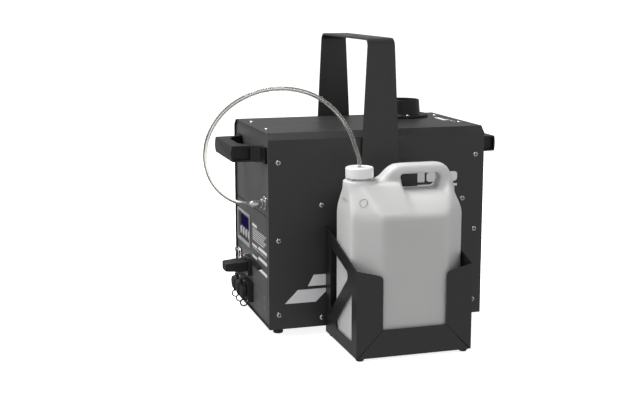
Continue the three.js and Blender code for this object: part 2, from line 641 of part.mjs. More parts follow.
// The black mask and circuit board behind the bezel, with a pocket for the screen and a well for each button.
function displayBoard() {
  const { y0, y1, z0, z1 } = DISPLAY;
  const board = box(PANEL_X + 1.2, PANEL_X + 8, y0 + 6, y1 - 6, z0 + 6, z1 - 6);
  const pocket = box(PANEL_X, PANEL_X + 4.5, SCREEN.y0 - GAP, SCREEN.y1 + GAP, SCREEN.z0 - GAP,
    SCREEN.z1 + GAP);
  const wells = BUTTON_Y.map((y) => plateYZ(buttonOutline(y, GAP), PANEL_X, PANEL_X + 5.5));
  return cut(board, pocket, ...wells);
}

const displayScreen = () =>
  box(PANEL_X + 0.9, PANEL_X + 4.2, SCREEN.y0, SCREEN.y1, SCREEN.z0, SCREEN.z1);

const menuButton = (y) => plateYZ(buttonOutline(y, 0), PANEL_X - 0.6, PANEL_X + 3.7);

function switchHousing() {
  const { y, z, halfY, halfZ } = SWITCH;
  const face = plateYZ(rect(y - halfY, y + halfY, z - halfZ, z + halfZ, 2), PANEL_X - 2.3, PANEL_X - GAP);
  const body = box(PANEL_X - 1, PANEL_X + 22, y - 10.5, y + 10.5, z - 14.5, z + 14.5);
  const well = box(PANEL_X - 5, PANEL_X + 12, y - 8.3, y + 8.3, z - 13.4, z + 13.4);
  return cut(join(face, body), well);
}

const ROCKER_X = PANEL_X + 4;

// A rocker with a shallow V face; its lower half stands out, the off position.
function powerRocker() {
  const { y, z } = SWITCH;
  const side = outline([[ROCKER_X - 9.5, z - 10.6, 1], [ROCKER_X - 4.6, z, 0], [ROCKER_X - 4.2, z + 10.8, 1],
    [ROCKER_X + 2, z + 9, 2], [ROCKER_X + 5, z, 3], [ROCKER_X + 1, z - 10, 2]].reverse());
  return plateXZ(side, y - 7.8, y + 7.8);
}

function switchBoot() {
  const { y, z, halfY, halfZ } = SWITCH;
  const x = PANEL_X - 2.3 - GAP;
  const outer = lofted([
    [[y - halfY, z - halfZ], [y + halfY, z - halfZ], [y + halfY, z + halfZ], [y - halfY, z + halfZ]]
      .map(([v, w]) => new THREE.Vector3(x, v, w)),
    [[y - halfY + 2, z - halfZ + 2], [y + halfY - 2, z - halfZ + 2], [y + halfY - 2, z + halfZ - 2],
      [y - halfY + 2, z + halfZ - 2]].map(([v, w]) => new THREE.Vector3(x - 14, v, w)),
  ]);
  const hollow = box(x - 12.8, x + 5, y - halfY + 3.2, y + halfY - 3.2, z - halfZ + 3.2, z + halfZ - 3.2);
  return cut(outer, hollow);
}

function powerInlet() {
  const { y, z, halfY, halfZ } = INLET;
  const plate = outline([[y - halfY, z - halfZ, 2], [y + halfY, z - halfZ, 2], [y + halfY, z + halfZ, 15],
    [y - halfY, z + halfZ, 15]]);
  const face = plateYZ(plate, PANEL_X - 9.3, PANEL_X - GAP);
  const body = box(PANEL_X - 2, PANEL_X + 18, y - 16, y + 16, z - 13, z + 13);
  const well = box(PANEL_X - 12, PANEL_X + 12, y - 12.4, y + 12.4, z - 8.4, z + 8.4);
  const pins = [-7, 0, 7].map((dy) =>
    box(PANEL_X - 4, PANEL_X + 14, y + dy - 1, y + dy + 1, z - 2.5, z + 2.5));
  return join(cut(join(face, body), well), ...pins);
}

function powerPlug() {
  const { y, z } = INLET;
  const x = PANEL_X - 9.3 - GAP;
  const section = (at, halfY, z0, z1, c) => [[y - halfY, z0 + c], [y - halfY + c, z0], [y + halfY - c, z0],
    [y + halfY, z0 + c], [y + halfY, z1 - c], [y + halfY - c, z1], [y - halfY + c, z1], [y - halfY, z1 - c]]
    .map(([v, w]) => new THREE.Vector3(at, v, w));
  const shell = lofted([
    section(x, 19.5, z - 10.7, z + 10.7, 1.5),
    section(x - 20, 19.2, z - 10.2, z + 10.2, 1.8),
    section(x - 38, 17.5, z - 9.6, z + 9.2, 2.2),
    section(x - 45, 16.5, z - 9.2, z + 8.6, 2.6),
  ]);
  const nose = box(x - 2, PANEL_X + 11, y - 11.9, y + 11.9, z - 7.9, z + 7.9);
  const slots = [-7, 0, 7].map((dy) =>
    box(x - 1, PANEL_X + 12, y + dy - 1.5, y + dy + 1.5, z - 3, z + 3));
  const exit = box(x - 46, x - 40, y - 5, y + 5, z - 4.5, z + 3.5);
  return cut(join(shell, nose), ...slots, exit);
}

// A panel socket: a thick flange with a round barrel through the panel and a contact well.
function panelSocket(y) {
  const z = SOCKET_Z;
  const face = plateYZ(rect(y - 18.6, y + 18.6, z - 20.5, z + 20.5, 2), PANEL_X - 12.3, PANEL_X - GAP);
  const barrel = disc(12, PANEL_X - 1, PANEL_X + 18, "x", [0, y, z], 20);
  const well = disc(9.5, PANEL_X - 20, PANEL_X + 12, "x", [0, y, z], 20);
  return cut(join(face, barrel), well);
}

// A rubber flap over a socket: a dished disc that hangs from its top edge, with a pull loop below.
function socketCap(y) {
  const z = SOCKET_Z;
  const x = PANEL_X - 12.3 - GAP;
  const flap = turned([[0, x], [15.5, x], [15.5, x - 4.5], [13.5, x - 7], [0, x - 7]].reverse(), "x",
    [0, y, z - 1], 20);
  const hinge = box(x - 4.5, x, y - 8, y + 8, z + 8, z + 18);
  const plug = disc(8.2, x - 1, x + 3, "x", [0, y, z], 16);
  const pull = (half, low, high) =>
    outline([[y - half, low, half - 0.1], [y + half, low, half - 0.1], [y + half, high], [y - half, high]], 6);
  const loop = plateYZ(pull(8, z - 29.5, z - 9), x - 4.2, x - 1.4, [pull(5.2, z - 26.7, z - 18)]);
  return join(flap, hinge, plug, loop);
}

// ---------------------------------------------------------------- assembly
const machine = new THREE.Group();
machine.position.copy(ORIGIN).negate();

function add(name, body, material) {
  const mesh = new THREE.Mesh(geometryOf(body), MATERIALS[material]);
  mesh.name = name;
  machine.add(mesh);
}

function addCabinet() {
  add("cabinet_cover", cover(), "sheet");
  add("base_plate", basePlate(), "sheet");
  add("rear_panel", rearPanel(), "panel");
  add("control_panel", controlPanel(), "panel");
  add("front_panel", frontPanel(), "panel");
  add("rear_handle", handle(-1), "moulded");
  add("front_handle", handle(1), "moulded");
  const corners = [[-194, -105], [194, -105], [-194, 105], [194, 105]];
  corners.forEach(([x, y], k) => add(`cabinet_foot_${k + 1}`, foot(x, y, -GAP, FOOT_R), "rubber"));
}

function addYoke() {
  add("yoke", yoke(), "sheet");
  add("pivot_bolt_near", pivotBolt(), "steel");
  add("pivot_knob_far", pivotKnob(), "moulded");
  add("pivot_washer_near", pivotWasher(-1), "moulded");
  add("pivot_washer_far", pivotWasher(1), "moulded");
}

function addBasket() {
  add("holder_back", holderBack(), "sheet");
  add("holder_left_side", holderSide(-1), "sheet");
  add("holder_right_side", holderSide(1), "sheet");
  add("holder_base", holderBase(), "sheet");
  const corners = [[-97, -316], [106, -316], [-97, -160], [106, -160]];
  corners.forEach(([x, y], k) => add(`holder_foot_${k + 1}`, foot(x, y, HOLDER_Z0 - GAP, 7.6), "rubber"));
}

function addFluid() {
  add("jerrycan", jerrycan(), "can");
  add("can_cap", canCap(), "cap");
  add("pickup_tube", pickupTube(), "hose");
  add("pickup_filter", pickupFilter(), "brass");
  add("fluid_hose", fluidHose(), "hose");
  add("hose_coupler", hoseCoupler(), "nickel");
  add("bulkhead_fitting", bulkheadFitting(), "nickel");
  add("intake_tube", intakeTube(), "hose");
}

function addControls() {
  add("display_bezel", displayBezel(), "bezel");
  add("display_screen", displayScreen(), "screen");
  add("display_board", displayBoard(), "moulded");
  BUTTON_Y.forEach((y, k) => add(`menu_button_${k + 1}`, menuButton(y), "button"));
  add("switch_housing", switchHousing(), "moulded");
  add("power_rocker", powerRocker(), "red");
  add("switch_boot", switchBoot(), "clear");
  add("power_inlet", powerInlet(), "moulded");
  add("power_plug", powerPlug(), "moulded");
  SOCKET_Y.forEach((y, k) => add(`socket_${k + 1}`, panelSocket(y), "moulded"));
  SOCKET_Y.forEach((y, k) => add(`socket_cap_${k + 1}`, socketCap(y), "rubber"));
}

function addInside() {
  add("outlet_collar", outletCollar(), "moulded");
  add("outlet_nozzle", outletNozzle(), "brass");
  add("heat_exchanger", heatExchanger(), "aluminium");
  add("heat_insulation", heatInsulation(), "wool");
  add("heater_stand", heaterStand(), "steel");
  add("fluid_pump", fluidPump(), "steel");
  add("main_board", mainBoard(), "board");
  add("power_supply", powerSupply(), "steel");
  add("fan_housing", fanHousing(), "moulded");
  add("fan_rotor", fanRotor(), "moulded");
}

addCabinet();
addYoke();
addBasket();
addFluid();
addControls();
addInside();

const part = new THREE.Group();
part.add(machine);

export default part;
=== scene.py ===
"""Looks of the fog machine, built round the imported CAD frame. Lengths inside the builders are millimetres in
the cabinet's own frame: x from the rear end to the front end, y away from the basket, z up from the cover's
lower edge. Blender's metres in the row frame are made in one place, by at(). Lights, floor and wall are
placed in metres."""
import itertools
import json
import math

import bmesh
import bpy
import numpy as np
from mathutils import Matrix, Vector


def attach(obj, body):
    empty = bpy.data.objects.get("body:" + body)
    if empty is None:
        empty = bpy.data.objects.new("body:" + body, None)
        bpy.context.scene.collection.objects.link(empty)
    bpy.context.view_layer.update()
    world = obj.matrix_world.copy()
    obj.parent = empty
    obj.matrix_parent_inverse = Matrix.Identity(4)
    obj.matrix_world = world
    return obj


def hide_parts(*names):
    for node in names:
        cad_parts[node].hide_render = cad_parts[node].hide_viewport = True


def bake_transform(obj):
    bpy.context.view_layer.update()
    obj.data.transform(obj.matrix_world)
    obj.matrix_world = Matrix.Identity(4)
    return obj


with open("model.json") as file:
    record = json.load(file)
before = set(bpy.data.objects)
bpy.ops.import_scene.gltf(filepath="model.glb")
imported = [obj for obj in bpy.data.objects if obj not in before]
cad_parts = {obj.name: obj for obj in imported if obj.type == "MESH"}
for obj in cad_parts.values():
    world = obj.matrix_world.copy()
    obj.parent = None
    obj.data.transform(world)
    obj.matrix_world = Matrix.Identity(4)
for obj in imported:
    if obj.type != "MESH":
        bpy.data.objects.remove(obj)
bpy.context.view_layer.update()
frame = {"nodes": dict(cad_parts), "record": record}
scene = bpy.context.scene

# ---------------------------------------------------------------- driving dimensions, as in the CAD
SHIFT = Vector((0, 75.85, 17))
GAP = 0.3
PANEL_X = -216.5
HALF_W = 142.5
CASE_H = 380
COLLAR_X, COLLAR_Y, COLLAR_TOP = 130.5, 76, 416.5
COLLAR_PLATE = 5.5
FIT_Y, FIT_Z = -101, 242
COUPLER_END = -246.3
SOCKET_Y = (98, 60, 22)
SOCKET_Z = 37.5
SCREW_R, SCREW_RISE = 5.2, 2.5

# ---------------------------------------------------------------- dimensions of the can
CAN_X, CAN_Y = 5.3, -238.1
CAN_HALF_X, CAN_HALF_Y = 108.8, 84.5
CAN_CUT_X, CAN_CUT_Y = 44.7, 41
CAN_BASE, CAN_BREAK, CAN_TOP = -8.6, 247, 298
CAP_X, CAP_R, CAP_Z0, CAP_Z1 = -73, 25.9, 307, 326.5
GRIP_HALF = 17
ARCH = [
    (-52, 284), (-42, 292.5), (-33, 298), (-25, 304), (-18, 311), (-10, 317.5), (-2, 321), (9, 322),
    (77, 322), (85, 320.5), (91.5, 315.5), (96.5, 307), (101, 294), (104, 280), (60, 262),
]
ARCH_ROUND = 7
GRIP_HOLE = [(9, 262), (8.5, 305), (75.5, 305), (76.5, 300), (72, 286), (68, 262)]
GRIP_ROUND = 6
SADDLE_Z, SADDLE_CURVE = 283, 0.0045
SADDLE_X, SADDLE_BLEND = (0, 91), 16
NECK_FOOT = 270
NECK_RINGS = ((30.2, 301.5, 5), (27.6, 303.4, 1.2), (22.3, 318, 1.5))
EDGE_BLEND, FOLD_BLEND, FOOT_BLEND = 5, 6.5, 12
CAN_STEP = 2.2
SEAM_RISE, SEAM_HALF = 0.35, 0.9
MARK_SPOT, MARK_FACING = (-82, -287.9, 268), (-0.61, -0.66, 0.43)

# ---------------------------------------------------------------- dimensions of the hose
HOSE_R = 3.8
HOSE_ROUTE = (
    (COUPLER_END - GAP, FIT_Y, FIT_Z),
    (-254, FIT_Y, FIT_Z + 0.5),
    (-275, -102, 248),
    (-300.5, -104.5, 264.5),
    (-320, -109, 287.5),
    (-332, -114.5, 315),
    (-336.3, -122, 345),
    (-333, -130, 373.5),
    (-322.5, -139.5, 400.5),
    (-306.5, -149.5, 424),
    (-285, -160, 443.5),
    (-259.5, -171, 457.5),
    (-233, -181.5, 466),
    (-204, -192.5, 468.7),
    (-175, -203.5, 465),
    (-148.5, -213, 455),
    (-124, -221.5, 437.5),
    (-105, -228.5, 415.5),
    (-90, -234, 389),
    (-80, -237, 361),
    (CAP_X, CAN_Y, 336),
    (CAP_X, CAN_Y, CAP_Z1 + GAP),
)
HOSE_STEP, HOSE_SIDES = 2, 36

# ---------------------------------------------------------------- camera, light and surroundings
CAMERA_SPOT = (-738.7, -2166.7, 643.2)
CAMERA_LENS = 63.404
CAMERA_DOWN, CAMERA_TURN = 10.522, 17.013
CAMERA_REACH = 600
WORLD_LEVELS = ((-1.0, 0.3), (-0.35, 0.42), (0.0, 0.47), (0.35, 0.45), (0.8, 0.2), (1.0, 0.12))
WORLD_SIDES = (0.85, 1.75)
FLOOR_HALF = 200
WALL_AWAY, WALL_HEIGHT = 24, 20
FLOOR_GLOW, WALL_GLOW = 0.85, 1.0
GRAIN_DEPTH = 0.0004


def at(point):
    """A cabinet point in millimetres as a row-frame point in metres."""
    return (Vector(point) + SHIFT) / 1000


# ---------------------------------------------------------------- camera and light
def make_camera():
    camera = bpy.data.objects.new("camera", bpy.data.cameras.new("camera"))
    camera.data.lens = CAMERA_LENS
    camera.data.sensor_width = 36
    camera.data.clip_end = CAMERA_REACH
    camera.location = at(CAMERA_SPOT)
    camera.rotation_euler = (math.radians(90 - CAMERA_DOWN), 0, math.radians(-CAMERA_TURN))
    scene.collection.objects.link(camera)
    scene.camera = camera


def area_light(name, location, target, size, power):
    light = bpy.data.lights.new(name, "AREA")
    light.shape = "RECTANGLE"
    light.size, light.size_y = size
    light.energy = power
    lamp = bpy.data.objects.new(name, light)
    lamp.location = location
    lamp.rotation_euler = (Vector(target) - Vector(location)).to_track_quat("-Z", "Y").to_euler()
    lamp.visible_camera = False
    scene.collection.objects.link(lamp)


def make_world():
    """A soft studio room: pale walls, dim straight overhead and below, brighter on the basket side."""
    world = bpy.data.worlds.new("studio")
    scene.world = world
    world.use_nodes = True
    tree = world.node_tree
    tree.nodes.clear()
    coords = tree.nodes.new("ShaderNodeTexCoord")
    parts = tree.nodes.new("ShaderNodeSeparateXYZ")
    tree.links.new(coords.outputs["Generated"], parts.inputs[0])
    height = tree.nodes.new("ShaderNodeMapRange")
    height.inputs["From Min"].default_value = -1
    tree.links.new(parts.outputs["Z"], height.inputs["Value"])
    ramp = tree.nodes.new("ShaderNodeValToRGB")
    ramp.color_ramp.interpolation = "EASE"
    for _ in WORLD_LEVELS[2:]:
        ramp.color_ramp.elements.new(0.5)
    for stop, (level, bright) in zip(ramp.color_ramp.elements, WORLD_LEVELS):
        stop.position = (level + 1) / 2
        stop.color = (bright, bright, bright, 1)
    tree.links.new(height.outputs["Result"], ramp.inputs["Fac"])
    sides = tree.nodes.new("ShaderNodeMapRange")
    sides.inputs["From Min"].default_value = 1
    sides.inputs["From Max"].default_value = -1
    sides.inputs["To Min"].default_value = WORLD_SIDES[0]
    sides.inputs["To Max"].default_value = WORLD_SIDES[1]
    tree.links.new(parts.outputs["Y"], sides.inputs["Value"])
    shade = tree.nodes.new("ShaderNodeBackground")
    tree.links.new(ramp.outputs["Color"], shade.inputs["Color"])
    tree.links.new(sides.outputs["Result"], shade.inputs["Strength"])
    out = tree.nodes.new("ShaderNodeOutputWorld")
    tree.links.new(shade.outputs[0], out.inputs["Surface"])


def make_lights():
    area_light("overhead", (-0.9, 0.5, 2.8), (0, 0, 0.2), (2.0, 1.6), 105)
    area_light("left_box", (-2.6, 0.2, 1.2), (0, 0, 0.3), (1.4, 1.4), 10)


def square(half):
    return [(-half, -half), (half, -half), (half, half), (-half, half)]


def glowing(name, tone, rough, strength):
    """A plain white that shines a little by itself."""
    return painted(name, (tone, tone, tone), rough, mottle=0.004, grain=(60, 0.02),
                   Emission_Color=(1, 1, 1, 1), Emission_Strength=strength)


def make_floor():
    """A pale seamless floor, bright enough to lose its shadows, that throws no light back on the object."""
    mesh = bpy.data.meshes.new("floor")
    mesh.from_pydata([(x, y, 0) for x, y in square(FLOOR_HALF)], [], [(0, 1, 2, 3)])
    floor = bpy.data.objects.new("floor", mesh)
    scene.collection.objects.link(floor)
    floor.data.materials.append(glowing("floor_white", 0.93, 0.7, FLOOR_GLOW))
    floor.visible_diffuse = False
    floor.visible_glossy = False


def make_backdrop():
    """A far white wall all round, seen by the camera and by nothing else, so that no horizon shows."""
    points = [(x, y, z) for z in (0, WALL_HEIGHT) for x, y in square(WALL_AWAY)]
    mesh = bpy.data.meshes.new("backdrop")
    mesh.from_pydata(points, [], [(k, (k + 1) % 4, (k + 1) % 4 + 4, k + 4) for k in range(4)])
    wall = bpy.data.objects.new("backdrop", mesh)
    scene.collection.objects.link(wall)
    wall.data.materials.append(glowing("backdrop_white", 0.9, 0.8, WALL_GLOW))
    wall.visible_diffuse = False
    wall.visible_glossy = False
    wall.visible_transmission = False
    wall.visible_shadow = False


# ---------------------------------------------------------------- materials
def nodes_of(name):
    material = bpy.data.materials.new(name)
    material.use_nodes = True
    tree = material.node_tree
    return material, tree, tree.nodes["Principled BSDF"]


def noise(tree, scale, detail=3, rough=0.55):
    node = tree.nodes.new("ShaderNodeTexNoise")
    node.inputs["Scale"].default_value = scale
    node.inputs["Detail"].default_value = detail
    node.inputs["Roughness"].default_value = rough
    if "coords" not in tree.nodes:
        tree.nodes.new("ShaderNodeTexCoord").name = "coords"
    tree.links.new(tree.nodes["coords"].outputs["Object"], node.inputs["Vector"])
    return node


def ranged(tree, source, low, high):
    node = tree.nodes.new("ShaderNodeMapRange")
    node.inputs["From Min"].default_value = 0.3
    node.inputs["From Max"].default_value = 0.7
    node.inputs["To Min"].default_value = low
    node.inputs["To Max"].default_value = high
    tree.links.new(source, node.inputs["Value"])
    return node.outputs["Result"]


def painted(name, color, rough, mottle=0.06, grain=(700, 0.12), blotch=14, metal=0.0, **sockets):
    """A surface with fine grain in its relief, and slow changes of tone and gloss."""
    material, tree, shader = nodes_of(name)
    slow = noise(tree, blotch, 4)
    ramp = tree.nodes.new("ShaderNodeMix")
    ramp.data_type = "RGBA"
    ramp.inputs["A"].default_value = (*[c * (1 - mottle) for c in color], 1)
    ramp.inputs["B"].default_value = (*[min(1, c * (1 + mottle)) for c in color], 1)
    tree.links.new(ranged(tree, slow.outputs["Fac"], 0, 1), ramp.inputs["Factor"])
    tree.links.new(ramp.outputs["Result"], shader.inputs["Base Color"])
    gloss = ranged(tree, slow.outputs["Fac"], rough * 0.93, min(1, rough * 1.07))
    tree.links.new(gloss, shader.inputs["Roughness"])
    fine = noise(tree, grain[0], 2)
    bump = tree.nodes.new("ShaderNodeBump")
    bump.inputs["Strength"].default_value = grain[1]
    bump.inputs["Distance"].default_value = GRAIN_DEPTH
    tree.links.new(fine.outputs["Fac"], bump.inputs["Height"])
    tree.links.new(bump.outputs["Normal"], shader.inputs["Normal"])
    shader.inputs["Metallic"].default_value = metal
    for socket, value in sockets.items():
        shader.inputs[socket.replace("_", " ")].default_value = value
    return material


def grey(tone):
    """A grey that leans a little to blue."""
    return tone, tone, tone * 1.02


def make_materials():
    return {
        "cover": painted("cover_powder_coat", grey(0.018), 0.42, grain=(420, 0.3)),
        "yoke": painted("yoke_powder_coat", grey(0.018), 0.4, grain=(420, 0.3)),
        "basket": painted("basket_powder_coat", grey(0.012), 0.42, grain=(420, 0.3)),
        "panel": painted("panel_powder_coat", grey(0.082), 0.5, grain=(600, 0.2), Specular_IOR_Level=0.35),
        "moulded": painted("moulded_black", grey(0.008), 0.42, grain=(900, 0.2), Specular_IOR_Level=0.3),
        "socket": painted("socket_black", grey(0.01), 0.35, grain=(900, 0.1)),
        "rubber": painted("rubber_black", grey(0.012), 0.75, grain=(500, 0.3)),
        "nickel": painted("bright_nickel", grey(0.55), 0.24, metal=1, mottle=0.03, grain=(300, 0.05)),
        "zinc": painted("zinc_plate", grey(0.6), 0.3, metal=1, mottle=0.08, grain=(500, 0.1)),
        "can": painted("natural_hdpe", (0.62, 0.62, 0.615), 0.42, mottle=0.015, grain=(260, 0.08), blotch=9,
                       Subsurface_Weight=0.75, Subsurface_Scale=0.03, Subsurface_Radius=(1, 1, 1)),
        "cap": painted("white_cap", (0.9, 0.9, 0.895), 0.32, mottle=0.01, grain=(400, 0.05)),
        "tube": painted("milky_tube", (0.6, 0.62, 0.6), 0.3, mottle=0.04, Transmission_Weight=0.5),
        "hose": painted("clear_hose", (0.62, 0.63, 0.59), 0.03, mottle=0.03, grain=(40, 0.0),
                        Transmission_Weight=0.85, IOR=1.46),
        "clear": painted("clear_boot", (0.95, 0.96, 0.97), 0.08, mottle=0.01, grain=(200, 0.06),
                         Transmission_Weight=0.97, IOR=1.12),
        "bezel": painted("bezel_grey", grey(0.33), 0.4, mottle=0.03, grain=(900, 0.1)),
        "mask": painted("display_mask", grey(0.012), 0.45, mottle=0.04, grain=(900, 0.1)),
        "screen": painted("display_glass", (0.006, 0.002, 0.05), 0.7, mottle=0.1, grain=(60, 0.02),
                          Specular_IOR_Level=0.02),
        "button": painted("button_silver", grey(0.62), 0.3, metal=0.4, mottle=0.04, grain=(900, 0.08)),
        "red": painted("rocker_red", (0.30, 0.010, 0.012), 0.28, mottle=0.05, grain=(500, 0.04)),
        "brass": painted("turned_brass", (0.72, 0.5, 0.22), 0.3, metal=1, mottle=0.08, grain=(800, 0.1)),
        "aluminium": painted("cast_aluminium", grey(0.55), 0.45, metal=0.9, mottle=0.08, grain=(500, 0.4)),
        "wool": painted("mineral_wool", (0.55, 0.5, 0.4), 0.95, mottle=0.2, grain=(350, 0.9), blotch=60),
        "board": painted("circuit_board", (0.02, 0.12, 0.05), 0.4, mottle=0.25, grain=(300, 0.3), blotch=90),
        # Painted shade: the dark colour put in the screw recesses.
        "recess": painted("recess_shadow", grey(0.02), 0.6, mottle=0.1, grain=(900, 0.2),
                          Specular_IOR_Level=0.1),
        "print": painted("white_print", grey(0.78), 0.5, mottle=0.03, grain=(900, 0.05)),
        "print_grey": painted("grey_print", grey(0.2), 0.5, mottle=0.03, grain=(900, 0.05)),
        # Dark ink for print, also used as painted shade along the panel seams.
        "ink_and_seam_shade": painted("seam_shade_and_dark_ink", grey(0.012), 0.5, mottle=0.03, grain=(900, 0.05)),
    }


# ---------------------------------------------------------------- mesh tools
def make_piece(name, points, faces, material, body, slot, smooth=40, replaces=()):
    mesh = bpy.data.meshes.new(name)
    mesh.from_pydata([at(p) for p in points], [], faces)
    return finish_piece(name, mesh, material, body, smooth, replaces)


def face_outward(mesh):
    form = bmesh.new()
    form.from_mesh(mesh)
    bmesh.ops.recalc_face_normals(form, faces=form.faces)
    form.to_mesh(mesh)
    form.free()


def finish_piece(name, mesh, material, body, smooth=40, replaces=()):
    """Links a mesh in metres as a piece, with its edges sharper than the smooth angle kept crisp."""
    face_outward(mesh)
    mesh.shade_smooth()
    mesh.set_sharp_from_angle(angle=math.radians(smooth))
    piece = bpy.data.objects.new(name, mesh)
    scene.collection.objects.link(piece)
    mesh.materials.clear()
    mesh.materials.append(material)
    if body:
        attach(piece, body)
    if replaces:
        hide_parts(*replaces)
    return piece


def apply_modifiers(piece):
    bpy.context.view_layer.update()
    graph = bpy.context.evaluated_depsgraph_get()
    mesh = bpy.data.meshes.new_from_object(piece.evaluated_get(graph))
    old = piece.data
    piece.modifiers.clear()
    piece.data = mesh
    bpy.data.meshes.remove(old)


def body_of_node(node):
    for body, members in frame["record"]["behaviour"]["bodies"].items():
        if node in members:
            return body
    raise ValueError(node)


def slot_of_node(node):
    return next(s["material_slot"] for s in frame["record"]["subparts"] if s["node"] == node)


def plain_mesh(node):
    """A CAD node's surface with its flat faces whole and nothing of its stored shading."""
    source = frame["nodes"][node].data
    mesh = bpy.data.meshes.new(node)
    mesh.from_pydata([v.co[:] for v in source.vertices], [], [p.vertices[:] for p in source.polygons])
    form = bmesh.new()
    form.from_mesh(mesh)
    bmesh.ops.remove_doubles(form, verts=form.verts, dist=1e-5)
    bmesh.ops.dissolve_limit(form, angle_limit=math.radians(1.5), verts=form.verts, edges=form.edges)
    form.to_mesh(mesh)
    form.free()
    return mesh


def soften(node, width, material, segments=2, crease=28):
    """The CAD node again with every sharp edge rounded."""
    mesh = plain_mesh(node)
    piece = finish_piece(node + "_look", mesh, material, None)
    bevel = piece.modifiers.new("edges", "BEVEL")
    bevel.width = width / 1000
    bevel.segments = segments
    bevel.limit_method = "ANGLE"
    bevel.angle_limit = math.radians(crease)
    bevel.harden_normals = True
    apply_modifiers(piece)
    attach(piece, body_of_node(node))
    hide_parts(node)


def axes_of(direction):
    """A turn that takes +Z to a direction."""
    return Vector((0, 0, 1)).rotation_difference(Vector(direction)).to_matrix()


def lathe(profile, origin, direction, steps=64):
    """Points and faces of a profile of (radius, height) turned about a line. Ends on the axis are closed."""
    turn = axes_of(direction)
    points, faces, rows = [], [], []
    for radius, height in profile:
        if radius < 1e-6:
            rows.append([len(points)])
            points.append(Vector(origin) + turn @ Vector((0, 0, height)))
            continue
        rows.append(list(range(len(points), len(points) + steps)))
        for k in range(steps):
            angle = 2 * math.pi * k / steps
            spot = Vector((radius * math.cos(angle), radius * math.sin(angle), height))
            points.append(Vector(origin) + turn @ spot)
    for low, high in zip(rows, rows[1:]):
        for k in range(steps):
            n = (k + 1) % steps
            loop = [low[k % len(low)], low[n % len(low)], high[n % len(high)], high[k % len(high)]]
            ring = list(dict.fromkeys(loop))
            if len(ring) > 2:
                faces.append(ring)
    return points, faces


def rounded_profile(profile, radius=0.6, steps=3):
    """The profile with every corner between its two ends rounded off."""
    out = [profile[0]]
    for before, here, after in zip(profile, profile[1:], profile[2:]):
        b, h, a = Vector(before), Vector(here), Vector(after)
        r = min(radius, (b - h).length / 2.2, (a - h).length / 2.2)
        start, end = h + (b - h).normalized() * r, h + (a - h).normalized() * r
        for k in range(steps + 1):
            t = k / steps
            out.append(tuple(start.lerp(h, t).lerp(h.lerp(end, t), t)))
    return out + [profile[-1]]


def merge(*parts):
    """Several (points, faces) as one."""
    points, faces = [], []
    for more_points, more_faces in parts:
        offset = len(points)
        points += [Vector(p) for p in more_points]
        faces += [[i + offset for i in face] for face in more_faces]
    return points, faces


def slab(outline, axis, low, high):
    """A prism of a convex or concave outline of (u, v) between two levels of an axis."""
    place = "xyz".index(axis)
    count = len(outline)
    points = []
    for level in (low, high):
        for spot in outline:
            points.append((*spot[:place], level, *spot[place:]))
    faces = [list(range(count)), list(range(2 * count - 1, count - 1, -1))]
    faces += [[k, k + count, (k + 1) % count + count, (k + 1) % count] for k in range(count)]
    return points, faces


def rect(u0, u1, v0, v1, radius=0.0, steps=5):
    if radius <= 0:
        return [(u0, v0), (u1, v0), (u1, v1), (u0, v1)]
    out = []
    corners = ((u1 - radius, v0 + radius, -90), (u1 - radius, v1 - radius, 0), (u0 + radius, v1 - radius, 90),
               (u0 + radius, v0 + radius, 180))
    for u, v, start in corners:
        for k in range(steps + 1):
            angle = math.radians(start + 90 * k / steps)
            out.append((u + radius * math.cos(angle), v + radius * math.sin(angle)))
    return out


# ---------------------------------------------------------------- hose
def smooth_route(points, step, parts=24):
    """Centripetal Catmull-Rom through the points, then even spacing."""
    line = [Vector(p) for p in points]
    line = [line[0] * 2 - line[1]] + line + [line[-1] * 2 - line[-2]]
    fine = []
    for p0, p1, p2, p3 in zip(line, line[1:], line[2:], line[3:]):
        t0 = 0.0
        t1 = t0 + (p1 - p0).length ** 0.5
        t2 = t1 + (p2 - p1).length ** 0.5
        t3 = t2 + (p3 - p2).length ** 0.5
        for k in range(parts):
            t = t1 + (t2 - t1) * k / parts
            a1 = p0 * ((t1 - t) / (t1 - t0)) + p1 * ((t - t0) / (t1 - t0))
            a2 = p1 * ((t2 - t) / (t2 - t1)) + p2 * ((t - t1) / (t2 - t1))
            a3 = p2 * ((t3 - t) / (t3 - t2)) + p3 * ((t - t2) / (t3 - t2))
            b1 = a1 * ((t2 - t) / (t2 - t0)) + a2 * ((t - t0) / (t2 - t0))
            b2 = a2 * ((t3 - t) / (t3 - t1)) + a3 * ((t - t1) / (t3 - t1))
            fine.append(b1 * ((t2 - t) / (t2 - t1)) + b2 * ((t - t1) / (t2 - t1)))
    fine.append(Vector(points[-1]))
    total = sum((b - a).length for a, b in zip(fine, fine[1:]))
    count = round(total / step)
    out, walked, k = [fine[0]], 0.0, 0
    for n in range(1, count):
        want = total * n / count
        while walked + (fine[k + 1] - fine[k]).length < want:
            walked += (fine[k + 1] - fine[k]).length
            k += 1
        out.append(fine[k].lerp(fine[k + 1], (want - walked) / (fine[k + 1] - fine[k]).length))
    return out + [fine[-1]]


def make_hose(materials):
    """Clear hose full of fluid, which bends light as the wall does, so wall and fluid are one clear rod."""
    path = smooth_route(HOSE_ROUTE, HOSE_STEP)
    sides = HOSE_SIDES
    points = []
    up = Vector((0, 0, 1))
    for k, spot in enumerate(path):
        ahead = path[min(k + 1, len(path) - 1)] - path[max(k - 1, 0)]
        along = ahead.normalized()
        up = (up - along * up.dot(along)).normalized()
        side = along.cross(up)
        for n in range(sides):
            angle = 2 * math.pi * n / sides
            points.append(spot + (up * math.cos(angle) + side * math.sin(angle)) * HOSE_R)
    faces = [list(range(sides)), list(range(len(points) - sides, len(points)))]
    for k in range(len(path) - 1):
        a, b = k * sides, (k + 1) * sides
        faces += [[a + n, a + (n + 1) % sides, b + (n + 1) % sides, b + n] for n in range(sides)]
    hose = make_piece("hose_look", points, faces, materials["hose"], None, "hose_plastic",
                      replaces=["fluid_hose"])
    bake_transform(hose)


